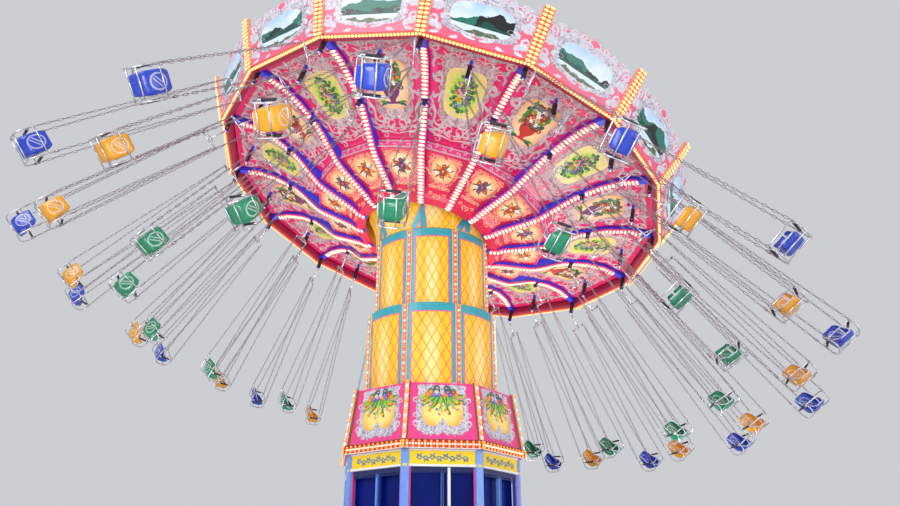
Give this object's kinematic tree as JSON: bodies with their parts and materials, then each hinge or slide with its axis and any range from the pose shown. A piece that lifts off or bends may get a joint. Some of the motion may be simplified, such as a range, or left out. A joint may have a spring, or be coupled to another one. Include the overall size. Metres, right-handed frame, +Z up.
{
  "type": "chair swing ride",
  "caption": "Fairground chair swing ride: raised deck, eight-sided booth, telescoping lit tower and a tilting, turning painted canopy that carries rings of bucket seats on chains.",
  "frame": {"origin": "on the tower's axis, at the ground under the pedestal", "axes": "+Z up, +Y away from the picture's camera, +X to its right"},
  "size_m": [16.019, 16.1538, 11.8786],
  "materials": {
    "deck_steel": "satin",
    "booth_blue": "gloss",
    "booth_glass": "polished",
    "sign_yellow": "gloss",
    "skirt_pink": "gloss",
    "mast_steel": "satin",
    "sleeve_gold": "gloss",
    "rib_blue": "gloss",
    "ceiling_pink": "gloss",
    "crown_pink": "gloss",
    "green_seat": "gloss",
    "yellow_seat": "gloss",
    "blue_seat": "gloss"
  },
  "bodies": {
    "base": {"base_deck": "deck_steel", "booth_frame": "booth_blue", "booth_glass": "booth_glass", "sign_fascia": "sign_yellow", "skirt": "skirt_pink"},
    "column": {"mast": "mast_steel"},
    "lower_tower": {"lower_sleeve": "sleeve_gold"},
    "upper_tower": {"upper_sleeve": "sleeve_gold"},
    "tilt_head": {"tilt_head": "mast_steel"},
    "canopy": {"canopy_frame": "rib_blue", "ceiling": "ceiling_pink", "crown": "crown_pink"},
    "swing_inner_01": {"swing_inner_01": "green_seat"},
    "swing_inner_02": {"swing_inner_02": "green_seat"},
    "swing_inner_03": {"swing_inner_03": "green_seat"},
    "swing_inner_04": {"swing_inner_04": "green_seat"},
    "swing_inner_05": {"swing_inner_05": "green_seat"},
    "swing_inner_06": {"swing_inner_06": "green_seat"},
    "swing_inner_07": {"swing_inner_07": "green_seat"},
    "swing_inner_08": {"swing_inner_08": "green_seat"},
    "swing_inner_09": {"swing_inner_09": "green_seat"},
    "swing_inner_10": {"swing_inner_10": "green_seat"},
    "swing_inner_11": {"swing_inner_11": "green_seat"},
    "swing_inner_12": {"swing_inner_12": "green_seat"},
    "swing_inner_13": {"swing_inner_13": "green_seat"},
    "swing_inner_14": {"swing_inner_14": "green_seat"},
    "swing_inner_15": {"swing_inner_15": "green_seat"},
    "swing_inner_16": {"swing_inner_16": "green_seat"},
    "swing_middle_01": {"swing_middle_01": "yellow_seat"},
    "swing_middle_02": {"swing_middle_02": "yellow_seat"},
    "swing_middle_03": {"swing_middle_03": "yellow_seat"},
    "swing_middle_04": {"swing_middle_04": "yellow_seat"},
    "swing_middle_05": {"swing_middle_05": "yellow_seat"},
    "swing_middle_06": {"swing_middle_06": "yellow_seat"},
    "swing_middle_07": {"swing_middle_07": "yellow_seat"},
    "swing_middle_08": {"swing_middle_08": "yellow_seat"},
    "swing_middle_09": {"swing_middle_09": "yellow_seat"},
    "swing_middle_10": {"swing_middle_10": "yellow_seat"},
    "swing_middle_11": {"swing_middle_11": "yellow_seat"},
    "swing_middle_12": {"swing_middle_12": "yellow_seat"},
    "swing_middle_13": {"swing_middle_13": "yellow_seat"},
    "swing_middle_14": {"swing_middle_14": "yellow_seat"},
    "swing_middle_15": {"swing_middle_15": "yellow_seat"},
    "swing_middle_16": {"swing_middle_16": "yellow_seat"},
    "swing_outer_01": {"swing_outer_01": "blue_seat"},
    "swing_outer_02": {"swing_outer_02": "blue_seat"},
    "swing_outer_03": {"swing_outer_03": "blue_seat"},
    "swing_outer_04": {"swing_outer_04": "blue_seat"},
    "swing_outer_05": {"swing_outer_05": "blue_seat"},
    "swing_outer_06": {"swing_outer_06": "blue_seat"},
    "swing_outer_07": {"swing_outer_07": "blue_seat"},
    "swing_outer_08": {"swing_outer_08": "blue_seat"},
    "swing_outer_09": {"swing_outer_09": "blue_seat"},
    "swing_outer_10": {"swing_outer_10": "blue_seat"},
    "swing_outer_11": {"swing_outer_11": "blue_seat"},
    "swing_outer_12": {"swing_outer_12": "blue_seat"},
    "swing_outer_13": {"swing_outer_13": "blue_seat"},
    "swing_outer_14": {"swing_outer_14": "blue_seat"},
    "swing_outer_15": {"swing_outer_15": "blue_seat"},
    "swing_outer_16": {"swing_outer_16": "blue_seat"}
  },
  "joints": [
    {"name": "column_turn", "type": "hinge", "parent": "base", "child": "column", "pos_m": [0, 0, 1.25], "axis": [0, 0, 1], "continuous": true},
    {"name": "mast_lift", "type": "slide", "parent": "column", "child": "upper_tower", "axis": [0, 0, 1], "range_m": [-2.9, 0]},
    {"name": "lower_sleeve_lift", "type": "slide", "parent": "column", "child": "lower_tower", "axis": [0, 0, 1], "range_m": [-1.45, 0]},
    {"name": "canopy_tilt", "type": "hinge", "parent": "upper_tower", "child": "tilt_head", "pos_m": [0, 0, 9.13], "axis": [-0.5388, 0.8425, 0], "range_deg": [-15.7, 0]},
    {"name": "canopy_spin", "type": "hinge", "parent": "tilt_head", "child": "canopy", "pos_m": [0.09119, 0.05832, 9.51508], "axis": [0.228, 0.1458, 0.9627], "continuous": true},
    {"name": "swing_outer_01_fly", "type": "hinge", "parent": "canopy", "child": "swing_outer_01", "pos_m": [4.47481, 1.39722, 7.96263], "axis": [0.3067, -0.9491, 0.0711], "range_deg": [-52.13, 0]},
    {"name": "swing_inner_01_fly", "type": "hinge", "parent": "canopy", "child": "swing_inner_01", "pos_m": [3.20281, 1.00218, 8.32367], "axis": [0.3189, -0.9454, 0.0676], "range_deg": [-47.42, 0]},
    {"name": "swing_inner_02_fly", "type": "hinge", "parent": "canopy", "child": "swing_inner_02", "pos_m": [2.54655, 2.17728, 8.30111], "axis": [0.5712, -0.8207, -0.011], "range_deg": [-48.34, 0]},
    {"name": "swing_inner_03_fly", "type": "hinge", "parent": "canopy", "child": "swing_inner_03", "pos_m": [1.50607, 3.02313, 8.41941], "axis": [0.7775, -0.6225, -0.0898], "range_deg": [-48.32, 0]},
    {"name": "swing_inner_04_fly", "type": "hinge", "parent": "canopy", "child": "swing_inner_04", "pos_m": [0.23977, 3.41095, 8.66054], "axis": [0.9181, -0.3613, -0.1627], "range_deg": [-47.29, 0]},
    {"name": "swing_inner_05_fly", "type": "hinge", "parent": "canopy", "child": "swing_inner_05", "pos_m": [-1.05955, 3.28171, 8.98779], "axis": [0.9735, -0.0535, -0.2224], "range_deg": [-45.11, 0]},
    {"name": "swing_inner_06_fly", "type": "hinge", "parent": "canopy", "child": "swing_inner_06", "pos_m": [-2.1941, 2.65508, 9.35135], "axis": [0.9244, 0.2781, -0.261], "range_deg": [-41.66, 0]},
    {"name": "swing_inner_07_fly", "type": "hinge", "parent": "canopy", "child": "swing_inner_07", "pos_m": [-2.99114, 1.62645, 9.69587], "axis": [0.7516, 0.6021, -0.2692], "range_deg": [-36.91, 0]},
    {"name": "swing_inner_08_fly", "type": "hinge", "parent": "canopy", "child": "swing_inner_08", "pos_m": [-3.32934, 0.35243, 9.9689], "axis": [0.4323, 0.8708, -0.2342], "range_deg": [-31.21, 0]},
    {"name": "swing_inner_09_fly", "type": "hinge", "parent": "canopy", "child": "swing_inner_09", "pos_m": [-3.15721, -0.97302, 10.12887], "axis": [-0.0522, 0.9891, -0.1374], "range_deg": [-25.83, 0]},
    {"name": "swing_inner_10_fly", "type": "hinge", "parent": "canopy", "child": "swing_inner_10", "pos_m": [-2.50095, -2.14812, 10.15142], "axis": [-0.6092, 0.7927, 0.0242], "range_deg": [-23.19, 0]},
    {"name": "swing_inner_11_fly", "type": "hinge", "parent": "canopy", "child": "swing_inner_11", "pos_m": [-1.46047, -2.99397, 10.03313], "axis": [-0.9379, 0.2985, 0.1769], "range_deg": [-24.84, 0]},
    {"name": "swing_inner_12_fly", "type": "hinge", "parent": "canopy", "child": "swing_inner_12", "pos_m": [-0.19418, -3.3818, 9.792], "axis": [-0.9465, -0.1987, 0.2542], "range_deg": [-29.33, 0]},
    {"name": "swing_inner_13_fly", "type": "hinge", "parent": "canopy", "child": "swing_inner_13", "pos_m": [1.10515, -3.25255, 9.46475], "axis": [-0.7785, -0.5665, 0.2701], "range_deg": [-34.48, 0]},
    {"name": "swing_inner_14_fly", "type": "hinge", "parent": "canopy", "child": "swing_inner_14", "pos_m": [2.23969, -2.62592, 9.10118], "axis": [-0.5317, -0.8096, 0.2485], "range_deg": [-39.11, 0]},
    {"name": "swing_inner_15_fly", "type": "hinge", "parent": "canopy", "child": "swing_inner_15", "pos_m": [3.03674, -1.59729, 8.75666], "axis": [-0.2508, -0.9466, 0.2027], "range_deg": [-42.83, 0]},
    {"name": "swing_inner_16_fly", "type": "hinge", "parent": "canopy", "child": "swing_inner_16", "pos_m": [3.37494, -0.32327, 8.48364], "axis": [0.039, -0.9893, 0.1406], "range_deg": [-45.59, 0]},
    {"name": "swing_middle_01_fly", "type": "hinge", "parent": "canopy", "child": "swing_middle_01", "pos_m": [3.69752, 2.04421, 8.04871], "axis": [0.4463, -0.8944, 0.0298], "range_deg": [-51.19, 0]},
    {"name": "swing_middle_02_fly", "type": "hinge", "parent": "canopy", "child": "swing_middle_02", "pos_m": [2.60437, 3.34623, 8.1104], "axis": [0.686, -0.7257, -0.0525], "range_deg": [-51.68, 0]},
    {"name": "swing_middle_03_fly", "type": "hinge", "parent": "canopy", "child": "swing_middle_03", "pos_m": [1.1182, 4.14104, 8.34196], "axis": [0.8652, -0.4839, -0.1316], "range_deg": [-51.35, 0]},
    {"name": "swing_middle_04_fly", "type": "hinge", "parent": "canopy", "child": "swing_middle_04", "pos_m": [-0.53473, 4.30763, 8.70815], "axis": [0.9624, -0.1834, -0.2001], "range_deg": [-50.13, 0]},
    {"name": "swing_middle_05_fly", "type": "hinge", "parent": "canopy", "child": "swing_middle_05", "pos_m": [-2.10278, 3.82065, 9.15321], "axis": [0.9561, 0.1536, -0.2497], "range_deg": [-47.95, 0]},
    {"name": "swing_middle_06_fly", "type": "hinge", "parent": "canopy", "child": "swing_middle_06", "pos_m": [-3.34724, 2.75422, 9.60941], "axis": [0.8257, 0.4951, -0.2705], "range_deg": [-44.76, 0]},
    {"name": "swing_middle_07_fly", "type": "hinge", "parent": "canopy", "child": "swing_middle_07", "pos_m": [-4.07864, 1.27071, 10.00727], "axis": [0.5541, 0.7936, -0.2514], "range_deg": [-40.75, 0]},
    {"name": "swing_middle_08_fly", "type": "hinge", "parent": "canopy", "child": "swing_middle_08", "pos_m": [-4.18563, -0.40403, 10.28623], "axis": [0.1392, 0.9737, -0.1804], "range_deg": [-36.51, 0]},
    {"name": "swing_middle_09_fly", "type": "hinge", "parent": "canopy", "child": "swing_middle_09", "pos_m": [-3.65192, -2.01505, 10.40382], "axis": [-0.3643, 0.9297, -0.0545], "range_deg": [-33.31, 0]},
    {"name": "swing_middle_10_fly", "type": "hinge", "parent": "canopy", "child": "swing_middle_10", "pos_m": [-2.55878, -3.31707, 10.34214], "axis": [-0.7898, 0.6059, 0.0953], "range_deg": [-32.57, 0]},
    {"name": "swing_middle_11_fly", "type": "hinge", "parent": "canopy", "child": "swing_middle_11", "pos_m": [-1.07261, -4.11188, 10.11058], "axis": [-0.9694, 0.1265, 0.2104], "range_deg": [-34.53, 0]},
    {"name": "swing_middle_12_fly", "type": "hinge", "parent": "canopy", "child": "swing_middle_12", "pos_m": [0.58032, -4.27848, 9.74439], "axis": [-0.9092, -0.3218, 0.264], "range_deg": [-38.03, 0]},
    {"name": "swing_middle_13_fly", "type": "hinge", "parent": "canopy", "child": "swing_middle_13", "pos_m": [2.14838, -3.79149, 9.29932], "axis": [-0.7055, -0.6567, 0.2665], "range_deg": [-41.82, 0]},
    {"name": "swing_middle_14_fly", "type": "hinge", "parent": "canopy", "child": "swing_middle_14", "pos_m": [3.39283, -2.72507, 8.84313], "axis": [-0.4324, -0.8707, 0.2343], "range_deg": [-45.21, 0]},
    {"name": "swing_middle_15_fly", "type": "hinge", "parent": "canopy", "child": "swing_middle_15", "pos_m": [4.12423, -1.24156, 8.44527], "axis": [-0.1328, -0.9748, 0.1791], "range_deg": [-47.94, 0]},
    {"name": "swing_middle_16_fly", "type": "hinge", "parent": "canopy", "child": "swing_middle_16", "pos_m": [4.23122, 0.43319, 8.16631], "axis": [0.1669, -0.9799, 0.1089], "range_deg": [-49.93, 0]},
    {"name": "swing_outer_02_fly", "type": "hinge", "parent": "canopy", "child": "swing_outer_02", "pos_m": [3.55605, 3.04236, 7.93105], "axis": [0.5729, -0.8196, -0.0115], "range_deg": [-52.99, 0]},
    {"name": "swing_outer_03_fly", "type": "hinge", "parent": "canopy", "child": "swing_outer_03", "pos_m": [2.09938, 4.22655, 8.09666], "axis": [0.7874, -0.6092, -0.0942], "range_deg": [-53.12, 0]},
    {"name": "swing_outer_04_fly", "type": "hinge", "parent": "canopy", "child": "swing_outer_04", "pos_m": [0.32656, 4.7695, 8.43424], "axis": [0.9283, -0.3308, -0.1697], "range_deg": [-52.47, 0]},
    {"name": "swing_outer_05_fly", "type": "hinge", "parent": "canopy", "child": "swing_outer_05", "pos_m": [-1.49249, 4.58856, 8.8924], "axis": [0.9732, -0.0034, -0.2299], "range_deg": [-50.97, 0]},
    {"name": "swing_outer_06_fly", "type": "hinge", "parent": "canopy", "child": "swing_outer_06", "pos_m": [-3.08086, 3.71128, 9.40139], "axis": [0.9005, 0.3445, -0.2654], "range_deg": [-48.58, 0]},
    {"name": "swing_outer_07_fly", "type": "hinge", "parent": "canopy", "child": "swing_outer_07", "pos_m": [-4.19672, 2.2712, 9.88372], "axis": [0.6921, 0.6712, -0.2655], "range_deg": [-45.37, 0]},
    {"name": "swing_outer_08_fly", "type": "hinge", "parent": "canopy", "child": "swing_outer_08", "pos_m": [-4.6702, 0.48757, 10.26595], "axis": [0.3408, 0.9142, -0.2192], "range_deg": [-41.65, 0]},
    {"name": "swing_outer_09_fly", "type": "hinge", "parent": "canopy", "child": "swing_outer_09", "pos_m": [-4.42922, -1.36806, 10.48991], "axis": [-0.1253, 0.9849, -0.1195], "range_deg": [-38.24, 0]},
    {"name": "swing_outer_10_fly", "type": "hinge", "parent": "canopy", "child": "swing_outer_10", "pos_m": [-3.51045, -3.01321, 10.52148], "axis": [-0.5979, 0.8014, 0.0202], "range_deg": [-36.34, 0]},
    {"name": "swing_outer_11_fly", "type": "hinge", "parent": "canopy", "child": "swing_outer_11", "pos_m": [-2.05378, -4.19739, 10.35588], "axis": [-0.9063, 0.3932, 0.1551], "range_deg": [-36.76, 0]},
    {"name": "swing_outer_12_fly", "type": "hinge", "parent": "canopy", "child": "swing_outer_12", "pos_m": [-0.28097, -4.74035, 10.0183], "axis": [-0.9672, -0.0798, 0.2411], "range_deg": [-39.12, 0]},
    {"name": "swing_outer_13_fly", "type": "hinge", "parent": "canopy", "child": "swing_outer_13", "pos_m": [1.53808, -4.55941, 9.56014], "axis": [-0.8337, -0.4815, 0.2703], "range_deg": [-42.36, 0]},
    {"name": "swing_outer_14_fly", "type": "hinge", "parent": "canopy", "child": "swing_outer_14", "pos_m": [3.12645, -3.68212, 9.05115], "axis": [-0.5907, -0.7653, 0.2558], "range_deg": [-45.61, 0]},
    {"name": "swing_outer_15_fly", "type": "hinge", "parent": "canopy", "child": "swing_outer_15", "pos_m": [4.24231, -2.24204, 8.56882], "axis": [-0.2976, -0.931, 0.2115], "range_deg": [-48.41, 0]},
    {"name": "swing_outer_16_fly", "type": "hinge", "parent": "canopy", "child": "swing_outer_16", "pos_m": [4.71579, -0.45841, 8.18658], "axis": [0.0097, -0.989, 0.1475], "range_deg": [-50.6, 0]}
  ],
  "couplings": [
    {"joint": "lower_sleeve_lift", "follows": "mast_lift", "ratio": 0.5},
    {"joint": "canopy_tilt", "follows": "mast_lift", "rad_per_m": 0.094488},
    {"joint": "swing_inner_01_fly", "follows": "swing_outer_01_fly", "ratio": 0.90949},
    {"joint": "swing_inner_02_fly", "follows": "swing_outer_01_fly", "ratio": 0.92717},
    {"joint": "swing_inner_03_fly", "follows": "swing_outer_01_fly", "ratio": 0.92683},
    {"joint": "swing_inner_04_fly", "follows": "swing_outer_01_fly", "ratio": 0.90696},
    {"joint": "swing_inner_05_fly", "follows": "swing_outer_01_fly", "ratio": 0.86523},
    {"joint": "swing_inner_06_fly", "follows": "swing_outer_01_fly", "ratio": 0.79909},
    {"joint": "swing_inner_07_fly", "follows": "swing_outer_01_fly", "ratio": 0.70792},
    {"joint": "swing_inner_08_fly", "follows": "swing_outer_01_fly", "ratio": 0.59848},
    {"joint": "swing_inner_09_fly", "follows": "swing_outer_01_fly", "ratio": 0.49541},
    {"joint": "swing_inner_10_fly", "follows": "swing_outer_01_fly", "ratio": 0.4448},
    {"joint": "swing_inner_11_fly", "follows": "swing_outer_01_fly", "ratio": 0.47629},
    {"joint": "swing_inner_12_fly", "follows": "swing_outer_01_fly", "ratio": 0.56255},
    {"joint": "swing_inner_13_fly", "follows": "swing_outer_01_fly", "ratio": 0.66133},
    {"joint": "swing_inner_14_fly", "follows": "swing_outer_01_fly", "ratio": 0.75006},
    {"joint": "swing_inner_15_fly", "follows": "swing_outer_01_fly", "ratio": 0.82139},
    {"joint": "swing_inner_16_fly", "follows": "swing_outer_01_fly", "ratio": 0.87434},
    {"joint": "swing_middle_01_fly", "follows": "swing_outer_01_fly", "ratio": 0.98182},
    {"joint": "swing_middle_02_fly", "follows": "swing_outer_01_fly", "ratio": 0.99117},
    {"joint": "swing_middle_03_fly", "follows": "swing_outer_01_fly", "ratio": 0.98488},
    {"joint": "swing_middle_04_fly", "follows": "swing_outer_01_fly", "ratio": 0.96154},
    {"joint": "swing_middle_05_fly", "follows": "swing_outer_01_fly", "ratio": 0.91961},
    {"joint": "swing_middle_06_fly", "follows": "swing_outer_01_fly", "ratio": 0.85857},
    {"joint": "swing_middle_07_fly", "follows": "swing_outer_01_fly", "ratio": 0.78154},
    {"joint": "swing_middle_08_fly", "follows": "swing_outer_01_fly", "ratio": 0.70021},
    {"joint": "swing_middle_09_fly", "follows": "swing_outer_01_fly", "ratio": 0.63886},
    {"joint": "swing_middle_10_fly", "follows": "swing_outer_01_fly", "ratio": 0.62472},
    {"joint": "swing_middle_11_fly", "follows": "swing_outer_01_fly", "ratio": 0.66225},
    {"joint": "swing_middle_12_fly", "follows": "swing_outer_01_fly", "ratio": 0.72941},
    {"joint": "swing_middle_13_fly", "follows": "swing_outer_01_fly", "ratio": 0.80214},
    {"joint": "swing_middle_14_fly", "follows": "swing_outer_01_fly", "ratio": 0.86715},
    {"joint": "swing_middle_15_fly", "follows": "swing_outer_01_fly", "ratio": 0.91944},
    {"joint": "swing_middle_16_fly", "follows": "swing_outer_01_fly", "ratio": 0.95776},
    {"joint": "swing_outer_02_fly", "follows": "swing_outer_01_fly", "ratio": 1.0163},
    {"joint": "swing_outer_03_fly", "follows": "swing_outer_01_fly", "ratio": 1.0188},
    {"joint": "swing_outer_04_fly", "follows": "swing_outer_01_fly", "ratio": 1.0063},
    {"joint": "swing_outer_05_fly", "follows": "swing_outer_01_fly", "ratio": 0.97761},
    {"joint": "swing_outer_06_fly", "follows": "swing_outer_01_fly", "ratio": 0.93182},
    {"joint": "swing_outer_07_fly", "follows": "swing_outer_01_fly", "ratio": 0.87013},
    {"joint": "swing_outer_08_fly", "follows": "swing_outer_01_fly", "ratio": 0.79889},
    {"joint": "swing_outer_09_fly", "follows": "swing_outer_01_fly", "ratio": 0.73349},
    {"joint": "swing_outer_10_fly", "follows": "swing_outer_01_fly", "ratio": 0.69698},
    {"joint": "swing_outer_11_fly", "follows": "swing_outer_01_fly", "ratio": 0.70495},
    {"joint": "swing_outer_12_fly", "follows": "swing_outer_01_fly", "ratio": 0.75033},
    {"joint": "swing_outer_13_fly", "follows": "swing_outer_01_fly", "ratio": 0.81255},
    {"joint": "swing_outer_14_fly", "follows": "swing_outer_01_fly", "ratio": 0.87475},
    {"joint": "swing_outer_15_fly", "follows": "swing_outer_01_fly", "ratio": 0.92846},
    {"joint": "swing_outer_16_fly", "follows": "swing_outer_01_fly", "ratio": 0.97053}
  ]
}
